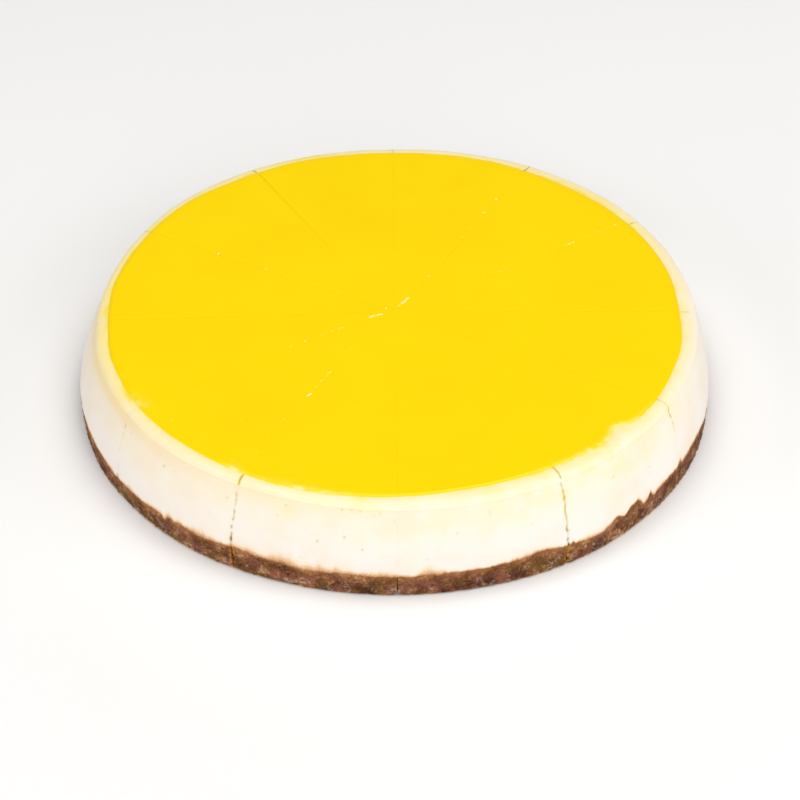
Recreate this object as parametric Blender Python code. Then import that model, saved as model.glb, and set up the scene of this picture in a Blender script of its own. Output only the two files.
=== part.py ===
# A round lemon cheesecake, cut into twelve slices that still stand together as one cake.
# Each slice is a crumb crust, a baked cream filling and a set lemon glaze, all in metres.
# +Z is up, and the origin is the middle of the flat underside.

import math

import bmesh
import bpy
from mathutils import Vector, noise

# The whole cake
CAKE_RADIUS = 0.128
CAKE_HEIGHT = 0.0413
SLICES = 12
STEPS_PER_SLICE = 16

# Unevenness is given as (depth, swells in a full turn, seed) and made with smooth noise
NOISE_GAIN = 1.6

# The knife: twelve cuts from the middle out, in degrees, each a little off its even spacing
KERF = 0.0004
CUT_DIRECTIONS = (1.0, 33.0, 62.1, 90.6, 120.1, 150.3, 182.0, 211.5, 240.7, 270.5, 301.4, 331.2)

# The side wall: tucked in at the foot, widest low down, leaning in towards the shoulder
FOOT_TUCK = 0.0008
WIDEST_HEIGHT = 0.012
SHOULDER_HEIGHT = 0.0376
WALL_LEAN = 0.0057
LEAN_POWER = 1.6
WALL_WAVE = (0.0004, 14, 3.7)
WALL_DRIFT = 40
WALL_ROWS = 5

# The crust of pressed crumbs: flat inside, with an uneven upper line that shows on the wall
CRUST_HEIGHT = 0.0102
CRUST_CHAMFER = 0.0010
CRUST_ROWS = 4
CRUST_SLOW_WAVE = (0.0008, 9, 11.3)
CRUST_QUICK_WAVE = (0.0006, 60, 21.9)
CRAG_WAVE = (0.0007, 110, 41.0)
CRAG_DRIFT = 260
RAGGED_RINGS = (0.121, 0.1248)
OUTER_RING_RISE = 0.45
# Where crumbs were dragged up the wall, or the cream sagged into them:
# direction in degrees, rise and half-width in degrees
CRUST_PEAKS = (
    (33, 0.0020, 4),
    (64, 0.0016, 3),
    (98, 0.0022, 5),
    (131, 0.0014, 3),
    (163, 0.0018, 4),
    (197, 0.0010, 6),
    (217, -0.0009, 7),
    (230, 0.0008, 4),
    (243, 0.0015, 6),
    (283, 0.0005, 5),
    (296, 0.0011, 2.5),
    (308, -0.0012, 6),
    (312, 0.0012, 2.5),
    (317, 0.0020, 2.5),
    (322, -0.0009, 3),
    (329, 0.0008, 3),
    (339, 0.0016, 6),
)

# The rim round the glaze, and the shallow tray that the glaze fills
RIM_HEIGHT = 0.0402
RIM_ROWS = 5
TRAY_DEPTH = 0.0013
LAYER_GAP = 0.0003

# The lemon glaze: a thin set layer, poured a little off the middle
LEMON_RADIUS = 0.1160
LEMON_OFFSET = (-0.0010, -0.0009)
LEMON_EDGE_WAVE = (0.0005, 22, 31.1)
LEMON_EDGE_RADIUS = 0.0011
LEMON_EDGE_ROWS = 4

# Shading: a fold sharper than this stays an edge. Points nearer than WELD are one point
SHARP_ANGLE = 40
ON_AXIS = 1e-6
WELD = 1e-7


# Wipes the scene, so that the script can be run again
def clear_scene():
    for item in list(bpy.data.objects):
        bpy.data.objects.remove(item)


def collection_named(name):
    found = bpy.data.collections.get(name) or bpy.data.collections.new(name)
    if name not in bpy.context.scene.collection.children:
        bpy.context.scene.collection.children.link(found)
    return found


def plain_material(name, colour, roughness):
    material = bpy.data.materials.new(name)
    material.use_nodes = True
    shader = material.node_tree.nodes["Principled BSDF"]
    shader.inputs["Base Color"].default_value = (*colour, 1.0)
    shader.inputs["Roughness"].default_value = roughness
    shader.inputs["Metallic"].default_value = 0.0
    return material


# Smooth unevenness round the cake, up to about `depth` in and out.
# A `drift` over 0 lets it change with height
def wave(angle, shape, drift=0.0):
    depth, swells, seed = shape
    reach = swells / math.tau
    place = Vector((math.cos(angle) * reach, math.sin(angle) * reach, seed + drift))
    return depth * NOISE_GAIN * noise.noise(place)


# The shape, by direction from the middle
def wall_radius(angle, height):
    lean = max(0.0, (height - WIDEST_HEIGHT) / (SHOULDER_HEIGHT - WIDEST_HEIGHT))
    tuck = max(0.0, 1 - height / WIDEST_HEIGHT)
    swell = wave(angle, WALL_WAVE, height * WALL_DRIFT)
    return CAKE_RADIUS - WALL_LEAN * lean**LEAN_POWER - FOOT_TUCK * tuck**2 + swell


def crust_line(angle):
    line = CRUST_HEIGHT + wave(angle, CRUST_SLOW_WAVE) + wave(angle, CRUST_QUICK_WAVE)
    for direction, rise, half_width in CRUST_PEAKS:
        off = (math.degrees(angle) - direction + 180) % 360 - 180
        line += rise * math.exp(-((off / half_width) ** 2))
    return line


def glaze_radius(angle):
    shift = LEMON_OFFSET[0] * math.cos(angle) + LEMON_OFFSET[1] * math.sin(angle)
    return LEMON_RADIUS + shift + wave(angle, LEMON_EDGE_WAVE)


# The line where crust and filling meet, from the middle out to the wall, lifted by `gap`
def meeting_line(angle, gap):
    rise = crust_line(angle) - CRUST_HEIGHT
    inner, outer = RAGGED_RINGS
    return [
        (0.0, CRUST_HEIGHT + gap),
        (inner, CRUST_HEIGHT + gap),
        (outer, CRUST_HEIGHT + rise * OUTER_RING_RISE + gap),
        (wall_radius(angle, CRUST_HEIGHT), CRUST_HEIGHT + rise + gap),
    ]


# Closed outlines of (radius, height), from the middle of the underside and out
def crust_outline(angle):
    top = meeting_line(angle, 0.0)
    edge_radius, edge_height = top[-1]
    foot_radius = wall_radius(angle, CRUST_CHAMFER)
    corners = [(0.0, 0.0), (foot_radius - CRUST_CHAMFER, 0.0)]
    for row in range(CRUST_ROWS):
        share = row / CRUST_ROWS
        height = CRUST_CHAMFER + share * (edge_height - CRUST_CHAMFER)
        radius = foot_radius + share * (edge_radius - foot_radius)
        crag = wave(angle, CRAG_WAVE, height * CRAG_DRIFT) * (1 - share)
        corners.append((radius + crag, height))
    return corners + top[::-1]


def filling_outline(angle):
    corners = meeting_line(angle, LAYER_GAP)
    foot = corners[-1][1]
    for row in range(1, WALL_ROWS + 1):
        height = foot + (SHOULDER_HEIGHT - foot) * row / WALL_ROWS
        corners.append((wall_radius(angle, height), height))
    shoulder = corners[-1][0]
    lip = glaze_radius(angle) + LAYER_GAP
    for row in range(1, RIM_ROWS + 1):
        turn = math.pi / 2 * row / RIM_ROWS
        radius = lip + (shoulder - lip) * math.cos(turn)
        height = SHOULDER_HEIGHT + (RIM_HEIGHT - SHOULDER_HEIGHT) * math.sin(turn)
        corners.append((radius, height))
    tray = RIM_HEIGHT - TRAY_DEPTH
    return corners + [(lip, tray), (0.0, tray)]


def glaze_outline(angle):
    low = RIM_HEIGHT - TRAY_DEPTH + LAYER_GAP
    edge = glaze_radius(angle)
    corners = [(0.0, low), (edge, low)]
    for row in range(LEMON_EDGE_ROWS + 1):
        turn = math.pi / 2 * row / LEMON_EDGE_ROWS
        radius = edge - LEMON_EDGE_RADIUS * (1 - math.cos(turn))
        height = CAKE_HEIGHT - LEMON_EDGE_RADIUS * (1 - math.sin(turn))
        corners.append((radius, height))
    return corners + [(0.0, CAKE_HEIGHT)]


def cut_angle(number):
    turns, cut = divmod(number, SLICES)
    return turns * math.tau + math.radians(CUT_DIRECTIONS[cut])


# Spins the outline from one cut to the next, gives every section its own shape,
# and sets both cut faces back by half the kerf
def make_slice(name, outline, first, last, material, collection):
    mesh = bmesh.new()
    corner_of = mesh.verts.layers.int.new("corner")
    step_of = {}
    ring = []
    for corner, (radius, height) in enumerate(outline(first)):
        point = mesh.verts.new((radius, 0.0, height))
        point[corner_of] = corner
        ring.append(point)
    edges = [mesh.edges.new((a, b)) for a, b in zip(ring, ring[1:] + ring[:1])]
    spun = bmesh.ops.spin(
        mesh,
        geom=ring + edges,
        axis=(0, 0, 1),
        cent=(0, 0, 0),
        angle=last - first,
        steps=STEPS_PER_SLICE,
        use_duplicate=False,
    )
    end = [item for item in spun["geom_last"] if isinstance(item, bmesh.types.BMVert)]
    end.sort(key=lambda point: point[corner_of])
    caps = [mesh.faces.new(ring[::-1]), mesh.faces.new(end)]

    step = (last - first) / STEPS_PER_SLICE
    for point in mesh.verts:
        if math.hypot(point.co.x, point.co.y) > ON_AXIS:
            step_of[point] = round(math.atan2(point.co.y, point.co.x) / step)
    sections = [outline(first + step * count) for count in range(STEPS_PER_SLICE + 1)]
    half_slice = (last - first) / 2
    middle = first + half_slice
    tip = KERF / 2 / math.sin(half_slice)
    for point in mesh.verts:
        if point not in step_of:
            point.co.x, point.co.y = tip * math.cos(middle), tip * math.sin(middle)
            continue
        count = step_of[point]
        angle = first + step * count
        radius, height = sections[count][point[corner_of]]
        point.co = (radius * math.cos(angle), radius * math.sin(angle), height)
        if count in (0, STEPS_PER_SLICE):
            side = KERF / 2 if count == 0 else -KERF / 2
            point.co += Vector((-math.sin(angle), math.cos(angle), 0)) * side

    bmesh.ops.remove_doubles(mesh, verts=mesh.verts, dist=WELD)
    bmesh.ops.recalc_face_normals(mesh, faces=mesh.faces)
    walls = [face for face in mesh.faces if face not in caps]
    bmesh.ops.triangulate(mesh, faces=walls, quad_method="SHORT_EDGE")
    data = bpy.data.meshes.new(name)
    mesh.to_mesh(data)
    mesh.free()
    data.materials.append(material)
    data.shade_smooth()
    data.set_sharp_from_angle(angle=math.radians(SHARP_ANGLE))
    item = bpy.data.objects.new(name, data)
    collection.objects.link(item)
    return item


def main():
    clear_scene()
    cake = collection_named("lemon_cheesecake")
    layers = (
        ("crust", crust_outline, plain_material("baked_crumb", (0.27, 0.115, 0.05), 0.85)),
        ("filling", filling_outline, plain_material("baked_cream", (0.95, 0.87, 0.68), 0.55)),
        ("lemon", glaze_outline, plain_material("lemon_glaze", (0.98, 0.68, 0.01), 0.15)),
    )
    for number in range(SLICES):
        first, last = cut_angle(number), cut_angle(number + 1)
        for layer, outline, material in layers:
            make_slice(f"{layer}_{number + 1:02d}", outline, first, last, material, cake)


main()
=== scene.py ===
import math
import random

import bmesh
import bpy
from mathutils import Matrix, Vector, noise


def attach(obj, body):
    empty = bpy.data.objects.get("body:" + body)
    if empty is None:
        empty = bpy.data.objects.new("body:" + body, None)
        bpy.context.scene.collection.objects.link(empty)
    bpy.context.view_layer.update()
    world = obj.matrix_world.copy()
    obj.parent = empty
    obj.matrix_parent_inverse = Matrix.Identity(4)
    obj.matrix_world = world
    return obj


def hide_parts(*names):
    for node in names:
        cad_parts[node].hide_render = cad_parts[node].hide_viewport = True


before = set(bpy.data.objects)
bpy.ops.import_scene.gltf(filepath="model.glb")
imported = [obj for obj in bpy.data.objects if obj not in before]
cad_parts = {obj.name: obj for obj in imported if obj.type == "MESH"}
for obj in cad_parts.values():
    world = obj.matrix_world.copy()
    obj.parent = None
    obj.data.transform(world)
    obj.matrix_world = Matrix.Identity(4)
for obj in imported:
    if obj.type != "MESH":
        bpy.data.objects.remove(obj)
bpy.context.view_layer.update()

# A round lemon cheesecake, cut into twelve slices that still stand together.
# Lengths are in millimetres and directions in degrees from +X, unless a note says otherwise.
# The sizes of the cake, the crust's line and the glaze repeat those of the solids, so every piece
# sits where its solid is. "shoulderShift", "ragged", "tears", "pour" and "bites" are read off the photo.

mm = 0.001

cake = {
    "radius": 128.0,
    "height": 41.3,
    "slices": 12,
    "footTuck": 0.8,  # the wall pulls in this much at the foot
    "widestHeight": 12.0,
    "shoulderHeight": 37.6,
    "wallLean": 5.7,  # and leans in this much at the shoulder
    "leanPower": 1.6,
    "wallWave": (0.4, 14, 3.7),  # depth, swells in a full turn, seed
    "wallDrift": 0.04,
    "noiseGain": 1.6,
    # how much further out than the solids' the shoulder lies, every 15 degrees from +X
    "shoulderShift": (0.0, -0.3, 0.4, 1.7, 2.1, 1.1, 0.5, 0.8, 1.1, 0.2, -1.3, -2.0,
                      -2.0, -0.8, -0.3, 0.0, 0.0, 0.0, 0.0, 0.0, 0.0, 0.0, 0.0, 0.0),
    "step": 0.42,  # between points on the wall, so that a crumb takes several
    "halfway": 60.0,  # a hidden ring of points
    "weld": 1e-6,  # metres: points nearer than this are one
    "sharpFold": 55,  # a fold sharper than this stays an edge
}


def direction(angle):
    return Vector((math.cos(angle), math.sin(angle), 0.0))


def clamp(value, low=0.0, high=1.0):
    return max(low, min(high, value))


def smooth(low, high, value):
    share = clamp((value - low) / (high - low))
    return share * share * (3 - 2 * share)


# Rises to 1 round one direction and falls away on both sides
def bell(angle, heading, halfWidth):
    off = (math.degrees(angle) - heading + 180) % 360 - 180
    return math.exp(-((off / halfWidth) ** 2))


# The strongest of some windows, each given as direction, half-width and strength
def strongest(angle, windows):
    return max(strength * bell(angle, heading, halfWidth) for heading, halfWidth, strength in windows)


# Smooth unevenness round the cake, the same on every run
def wave(angle, shape, drift=0.0):
    depth, swells, seed = shape
    reach = swells / math.tau
    place = Vector((math.cos(angle) * reach, math.sin(angle) * reach, seed + drift))
    return depth * cake["noiseGain"] * noise.noise(place)


# A factor that swings to both sides of its middle value, over a length
def swingAt(place, shape):
    middle, swing, length = shape
    return middle + swing * noise.noise(place / length)


# A value between those of a table that goes once round the cake
def tableAt(angle, table):
    place = (angle / math.tau % 1) * len(table)
    step = int(place) % len(table)
    share = smooth(0, 1, place - int(place))
    return table[step] * (1 - share) + table[(step + 1) % len(table)] * share


def wallRadius(angle, height):
    widest = cake["widestHeight"]
    lean = max(0.0, (height - widest) / (cake["shoulderHeight"] - widest))
    tuck = max(0.0, 1 - height / widest)
    swell = wave(angle, cake["wallWave"], height * cake["wallDrift"])
    swell += tableAt(angle, cake["shoulderShift"]) * lean
    inwards = cake["wallLean"] * lean ** cake["leanPower"] + cake["footTuck"] * tuck**2
    return cake["radius"] - inwards + swell


# The knife that cut the cake
knife = {
    "kerf": 0.006,  # the soft layers close up again behind the blade
    "crossing": (-0.6, 1.4),  # where the cuts meet, off the middle of the cake
    "crossingReach": 80.0,  # and how far out that still shows
    "beside": (0.10, 0.24, 0.45, 0.75, 1.15, 1.65),  # columns of points kept beside a cut
    "wobbleLength": (30.0, 5.0),  # the crack turns about this often, inwards and down the wall
    "wobbleFrom": (60, 125),
    "dashLength": (9.0, 2.2),  # and opens and closes about this often, inwards and down the wall
    "dash": 3.0,  # and how much, above the crust
    "dashes": {4: 0.6, 10: 1.2, 11: 1.4},  # for single cuts
    "open": (0.9, 2.2),  # share of the gap that stands open: as a rule, and at most
    "crustOpen": 0.5,  # and at least, in the crust
    "gapReach": 0.7,  # how far from the cut the slice is pushed aside
    "gapFrom": (0, 12),
    "fanFrom": 6.0,  # nearer the middle the columns of points close up like a fan
    "dragWidth": 2.6,  # how far from the cut the wall is dragged along
    "lipWidth": 0.35,  # how far from the cut its edge is rounded
    "opensFrom": (40, 105),  # the glaze closed again nearer the middle than this
    # direction, half the gap in the glaze, rim, high and low cream, crust and foot,
    # the wobble of the crack and how much juice stands in it
    "cuts": (
        (1.0, 0.008, 0.05, 0.00, 0.00, 0.05, 0.30, 0.3, 0.5),
        (33.0, 0.00, 0.30, 0.05, 0.05, 0.12, 0.30, 0.5, 0.6),
        (62.1, 0.00, 0.35, 0.05, 0.05, 0.12, 0.35, 0.5, 0.6),
        (90.6, 0.006, 0.06, 0.03, 0.03, 0.14, 0.40, 0.3, 0.4),
        (120.1, 0.05, 0.30, 0.06, 0.06, 0.12, 0.30, 0.5, 0.6),
        (150.3, 0.006, 0.05, 0.05, 0.05, 0.12, 0.35, 0.6, 0.6),
        (182.0, 0.00, 0.12, 0.00, 0.00, 0.10, 0.25, 0.3, 0.9),
        (211.5, 0.00, 0.03, 0.035, 0.008, 0.14, 0.50, 0.8, 0.5),
        (240.7, 0.00, 0.10, 0.04, 0.07, 0.24, 0.30, 0.9, 1.0),
        (270.5, 0.006, 0.00, 0.00, 0.00, 0.20, 0.80, 0.0, 0.2),
        (301.4, 0.004, 0.12, 0.045, 0.06, 0.22, 0.30, 0.7, 1.0),
        (331.2, 0.00, 0.12, 0.08, 0.00, 0.10, 0.45, 0.9, 0.8),
    ),
    "heights": (41.3, 38.8, 35.0, 21.0, 12.0, 9.5, 2.4, 0.0),
    "heightShows": (0, 1, 2, 3, 3, 4, 4, 5),  # which of the six gaps holds at each height
    # how far the blade ran to the left of a straight line, at these distances from the middle
    "bowPlaces": (0, 10, 25, 40, 60, 80, 100, 110, 118),
    "bows": {
        0: (0, 0.4, 0.8, 0.4, 0, 0, 0, 0, 0),
        1: (0, -0.4, -0.5, 0.2, 1.2, 1.5, 1.6, 1.8, 0),
        2: (0, -0.9, -1.3, -1.0, -0.2, 0.3, 0.5, 0.3, 0),
        5: (0, -0.2, 0.4, 0.6, 0, 0.3, 0, 0, 0),
        7: (0, -1.3, -1.7, -1.9, -1.6, -1.0, -0.4, 0, 0),
        8: (0, -1.4, -2.3, -2.8, -2.6, -3.4, -2.4, -1.6, 0),
    },
}


def cutAngle(number):
    turns, cut = divmod(number, cake["slices"])
    return turns * math.tau + math.radians(knife["cuts"][cut][0])


# Half the gap that a cut leaves at one place, wider and narrower along its way
def gapAt(cut, radius, height):
    gaps = knife["cuts"][cut][1:7]
    heights, shows = knife["heights"], knife["heightShows"]
    gap = gaps[shows[-1]]
    for high, low, upper, lower in zip(heights, heights[1:], shows, shows[1:]):
        if height >= low:
            share = clamp((height - low) / (high - low))
            gap = gaps[lower] + share * (gaps[upper] - gaps[lower])
            break
    if height >= heights[1]:
        gap *= smooth(*knife["opensFrom"], radius)
    inwards, down = knife["dashLength"]
    place = Vector((radius / inwards, height / down, cut * 7.3))
    least = knife["crustOpen"] if height < crust["height"] else 0.0
    usual, most = knife["open"]
    dash = knife["dashes"].get(cut, knife["dash"])
    return gap * clamp(usual + dash * noise.noise(place), least, most)


# How far a cut runs beside its straight line
def bowAt(cut, radius):
    bow, places = knife["bows"].get(cut), knife["bowPlaces"]
    if not bow or radius >= places[-1]:
        return 0.0
    step = max(row for row, place in enumerate(places) if place <= radius)
    share = smooth(places[step], places[step + 1], radius)
    return bow[step] + share * (bow[step + 1] - bow[step])


def wobbleAt(cut, radius, height):
    inwards, down = knife["wobbleLength"]
    place = Vector((radius / inwards, height / down, cut * 5.1 + 0.5))
    return knife["cuts"][cut][7] * noise.noise(place) * smooth(*knife["wobbleFrom"], radius)


# Columns of points across one slice: close together beside a cut, then evenly
def columnsOf(first, last):
    halfArc = (last - first) / 2 * cake["radius"]
    free = halfArc - knife["beside"][-1]
    count = round(free / cake["step"])
    away = [0.0, *knife["beside"]]
    away += [knife["beside"][-1] + free * (row + 1) / count for row in range(count)]
    near = [(distance / halfArc, 1) for distance in away]
    return near + [(share, -1) for share, _ in near[-2::-1]]


# The direction of a column at one radius: beside a cut it keeps its distance from the cut
def columnAngle(first, last, column, radius):
    share, side = column
    pull = cake["radius"] / max(radius, knife["fanFrom"]) - 1
    offset = (last - first) / 2 * share * (1 + pull) / (1 + pull * share)
    return (first + offset if side > 0 else last - offset), offset


# Places a point of the outline (radius, height) in one column, with all that the knife did to it
def placePoint(number, first, last, column, radius, height):
    angle, offset = columnAngle(first, last, column, radius)
    middle, half = (first + last) / 2, (last - first) / 2
    tip = knife["kerf"] / 2 / math.sin(half)
    reach = max(0.0, radius - tip * math.cos(angle - middle))
    point = direction(middle) * tip + direction(angle) * reach
    side = column[1]
    following = (number + 1) % cake["slices"]
    cut = number if side > 0 else following
    away = radius * math.sin(offset)
    if reach > 0:
        along = direction(angle + math.pi / 2)
        across = smooth(first, last, angle)
        bow = bowAt(number, radius)
        point += along * (bow + across * (bowAt(following, radius) - bow))
        shift = wobbleAt(cut, radius, height) * math.exp(-((away / knife["dragWidth"]) ** 2))
        gap = gapAt(cut, radius, height) * math.exp(-away / knife["gapReach"])
        shift += side * gap * smooth(*knife["gapFrom"], radius)
        point += along * shift
    fade = 1 - smooth(0, knife["crossingReach"], radius)
    point.x += knife["crossing"][0] * fade
    point.y += knife["crossing"][1] * fade
    point.z = height
    return point, angle, away, cut


# Puts a mesh in the scene as a piece of the cake; `node` is the solid that it replaces, if any
def addPiece(data, material, node=None):
    data.materials.append(material)
    data.shade_smooth()
    piece = bpy.data.objects.new(data.name, data)
    bpy.context.scene.collection.objects.link(piece)
    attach(piece, "root")
    if node:
        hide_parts(node)


# One closed piece from outlines set side by side, each a column of points with their marks
def makePiece(name, number, columns, material, solid):
    height = len(columns[0])
    points = [point * mm for column in columns for point, _ in column]
    marks = [seen for column in columns for _, seen in column]
    faces = []
    for left in range(len(columns) - 1):
        for row in range(height):
            above = (row + 1) % height
            a, b = left * height, (left + 1) * height
            faces.append((a + row, b + row, b + above, a + above))
    faces.append(tuple(range(height)))
    faces.append(tuple((len(columns) - 1) * height + row for row in reversed(range(height))))
    data = bpy.data.meshes.new(f"{name}{number + 1:02d}")
    data.from_pydata(points, [], faces)
    for mark in marks[0]:
        layer = data.attributes.new(mark, "FLOAT", "POINT")
        layer.data.foreach_set("value", [seen[mark] for seen in marks])
    work = bmesh.new()
    work.from_mesh(data)
    bmesh.ops.remove_doubles(work, verts=work.verts, dist=cake["weld"])
    bmesh.ops.triangulate(work, faces=[face for face in work.faces if len(face.verts) > 4])
    bmesh.ops.recalc_face_normals(work, faces=work.faces)
    work.to_mesh(data)
    work.free()
    addPiece(data, material, f"{solid}_{number + 1:02d}")
    data.set_sharp_from_angle(angle=math.radians(cake["sharpFold"]))


# sRGB hex to the linear colour that the shaders take
def tone(code):
    parts = [int(code[place:place + 2], 16) / 255 for place in (1, 3, 5)]
    linear = [part / 12.92 if part <= 0.04045 else ((part + 0.055) / 1.055) ** 2.4 for part in parts]
    return (*linear, 1.0)


# Adds a node with its settings (properties, inputs or colour stops) and its links
def addNode(tree, kind, settings=None, links=None):
    node = tree.nodes.new("ShaderNode" + kind)
    for name, value in (settings or {}).items():
        if name == "stops":
            ramp = node.color_ramp.elements
            while len(ramp) < len(value):
                ramp.new(0.5)
            for element, (position, colour) in zip(ramp, value):
                element.position, element.color = position, colour
        elif isinstance(name, str) and hasattr(node, name):
            setattr(node, name, value)
        else:
            node.inputs[name].default_value = value
    for name, source in (links or {}).items():
        tree.links.new(source, node.inputs[name])
    return node


def newMaterial(name):
    material = bpy.data.materials.new(name)
    material.use_nodes = True
    tree = material.node_tree
    return material, tree, tree.nodes["Principled BSDF"]


# The crust: crushed wheat biscuit bound with butter, pressed by hand and baked
crust = {
    "height": 10.2,
    "chamfer": 1.0,
    "slowWave": (0.8, 9, 11.3),
    "quickWave": (0.6, 60, 21.9),
    "raggedRings": (121.0, 124.8),
    "outerRingRise": 0.45,
    "peaks": (  # direction, rise, half-width: crumbs dragged up, or cream sagged in
        (33, 2.0, 4), (64, 1.6, 3), (98, 2.2, 5), (131, 1.4, 3), (163, 1.8, 4), (197, 1.0, 6),
        (217, -0.9, 7), (230, 0.8, 4), (243, 1.5, 6), (283, 0.5, 5), (296, 1.1, 2.5), (308, -1.2, 6),
        (312, 1.2, 2.5), (317, 2.0, 2.5), (322, -0.9, 3), (329, 0.8, 3), (339, 1.6, 6),
    ),
    "rows": 27,
    "underRows": (0, 12, 26, 44, 64, 84, 102, 115, 122),  # rings of points on the underside
    "wallFrom": 0.35,  # the lowest row on the wall
    "chamferTuck": 0.8,
    "ragged": ((0.5, 3.0), (0.28, 1.3)),  # depth and length of the torn upper line
    "tears": (  # its sharpest bits: direction, rise and half-width
        (223.0, 0.5, 1.3), (225.6, -1.5, 0.5), (226.7, 1.1, 0.7), (302.4, 1.3, 0.4), (308.4, -0.9, 1.6),
        (312.2, 1.3, 0.9), (314.5, -1.3, 0.8), (317.9, 1.2, 0.6), (319.6, -1.5, 0.6), (321.5, 2.3, 0.5),
        (322.9, -0.8, 0.5), (330.6, -0.6, 0.4), (331.8, 1.6, 0.6), (46.0, 1.2, 0.8), (84.5, -1.2, 0.6),
        (141.0, 1.1, 0.9), (168.0, -1.0, 0.7),
    ),
    # coarse crumbs, then fine: relief, size, how far their tints differ, and how much shade is painted
    # between them
    "crumbs": ((0.42, 2.3, 0.5, 1.0), (0.20, 1.05, 0.35, 0.5)),
    "crumbRise": 0.45,  # the middle of a crumb stands out by this share of its relief
    "crumbSeam": (0.03, 0.2),  # how narrow the shade painted between crumbs is
    "fullFrom": 1.2,  # the relief is whole above this height
    "leastRelief": 0.5,  # and this much of it is left at the foot
    "underRelief": 0.6,  # and on the underside
    "lip": 0.1,  # how far a cut edge is rounded off
    "pits": (  # direction, height, radius and depth of crumbs that fell out
        (251.2, 5.4, 0.9, 0.9), (266.5, 3.0, 0.7, 0.6), (276.5, 5.0, 0.8, 0.7), (304.5, 4.6, 0.8, 0.7),
        (327.0, 5.4, 0.7, 0.6), (20.0, 5.0, 1.1, 0.8), (77.0, 3.6, 1.0, 0.8), (112.0, 6.0, 0.8, 0.7),
        (147.0, 4.0, 1.1, 0.9), (190.0, 5.5, 0.7, 0.6),
    ),
    # small ones round the whole wall: how many, their heights, radii and depths, and the seed
    "smallPits": (90, (1.5, 10.2), (0.3, 0.6), (0.25, 0.6), 8),
    "pitSteepness": 2.0,
    "dusted": ((318.0, 18.0), (218.0, 16.0), (40.0, 25.0), (120.0, 20.0)),  # where meal lines the foot
    "dustBeside": 2.5,  # and how far it lies on both sides of a cut
    "juiceBeside": 1.1,  # how far juice from a cut soaks in
    "flakeCurl": 1.7,  # pale flakes show as curved bits about this long
    "flakePatch": 4.2,  # in patches about this wide
    "flakePale": 0.55,
    "flakes": ((0.2, 0.05), (0.02, 0.4), (0.85, 0.4)),  # how narrow, how deep in a patch, how low down
    "flakeDusted": 0.15,  # more of them where it is dusted
    "mealTop": (1.1, 1.1, 0.9),  # how high meal lies: everywhere, more if dusted, and with the grit
    "mealFoot": 0.3,  # it is whole below this
    "mealLeast": 0.35,
    "underMeal": 0.3,
    "paintedCrumbShade": (0.35, 1.2),  # how much shade is painted between crumbs, and how far that differs in patches
    # how much shade is painted in the pits, by their depth
    "paintedPitShade": 1.6,
    "seepSwing": (0.7, 1.6),  # how evenly the juice soaks in, and how much with the grit
    "crumbJitter": (0.9, 0.5),  # how often and how far crumbs lie off their pattern
    "shade": (0.36, 0.12),  # how light the crumb is at the foot, and how much more at the top
    "tornShade": (0.3, 0.9),  # how much lighter at the torn line, and how fast that fades below it
    "patch": (5.5, 0.4),  # width and strength of lighter and darker patches
    "grit": (1.1, 0.45),  # and of single grains
    "tint": 0.75,  # how far single crumbs differ
    "toastDepth": 1.5,  # how far below the torn line it is toasted
    # what lies over the grain: mark, colour and how much of it at most
    "coats": (
        ("toast", "toasted", 0.8), ("meal", "footMeal", 1.0),
        ("crevice", "shadow", 0.8), ("seep", "syrup", 0.75),
    ),
    "pressedDark": "#532F19",
    "biscuit": "#7A4A29",
    "lightBiscuit": "#9A683E",
    "paleGrain": "#C2A07C",
    "redBiscuit": "#874F42",
    "oiledBiscuit": "#7D5A26",
    "shadow": "#35190E",
    "toasted": "#AC7140",
    "footMeal": "#CFB39B",
    "syrup": "#C98A2C",
}


# Hollows in a wall, as direction, height, radius and depth: the known ones, and small ones scattered
def placeHollows(known, small):
    count, levels, sizes, depths, seed = small
    chance = random.Random(seed)
    hollows = list(known)
    for _ in range(count):
        hollows.append(tuple(chance.uniform(*span) for span in ((0, 360), levels, sizes, depths)))
    return hollows


# Those that can touch one slice
def nearSlice(hollows, first, last):
    middle, reach = math.degrees((first + last) / 2), math.degrees(last - first)
    return [hollow for hollow in hollows if abs((hollow[0] - middle + 180) % 360 - 180) < reach]


def hollowAt(angle, height, hollows, steepness):
    deep = 0.0
    for heading, level, radius, depth in hollows:
        off = (math.degrees(angle) - heading + 180) % 360 - 180
        far = math.hypot(math.radians(off) * cake["radius"], height - level)
        if far < radius * 3:
            deep = max(deep, depth * math.exp(-((far / radius) ** 2) * steepness))
    return deep


def crustLine(angle):
    line = crust["height"] + wave(angle, crust["slowWave"]) + wave(angle, crust["quickWave"])
    for peak, rise, halfWidth in crust["peaks"]:
        line += rise * bell(angle, peak, halfWidth)
    return line


# The torn line as it shows: the solids' line with single crumbs along it
def tornLine(angle):
    line = crustLine(angle)
    for depth, length in crust["ragged"]:
        place = direction(angle) * (cake["radius"] / length)
        line += depth * noise.noise(place + Vector((0, 0, 3.3 * length)))
    for tear, rise, halfWidth in crust["tears"]:
        line += rise * bell(angle, tear, halfWidth)
    return line


# How far crumbs stand out at a place, and each crumb's own tint and the shade painted between crumbs
def crumbAt(place):
    relief, tint, gap = 0.0, 0.0, 0.0
    often, far = crust["crumbJitter"]
    jitter = Vector((noise.noise(place * often), noise.noise(place * often + Vector((5, 5, 5))), 0)) * far
    for depth, size, contrast, paintedShade in crust["crumbs"]:
        near, spots = noise.voronoi((place + jitter) / size)
        relief += depth * (crust["crumbRise"] - near[0])
        tint += noise.noise(spots[0] * 13.7) * contrast
        gap = max(gap, (1 - smooth(*crust["crumbSeam"], near[1] - near[0])) * paintedShade)
    return relief, tint, gap


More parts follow.
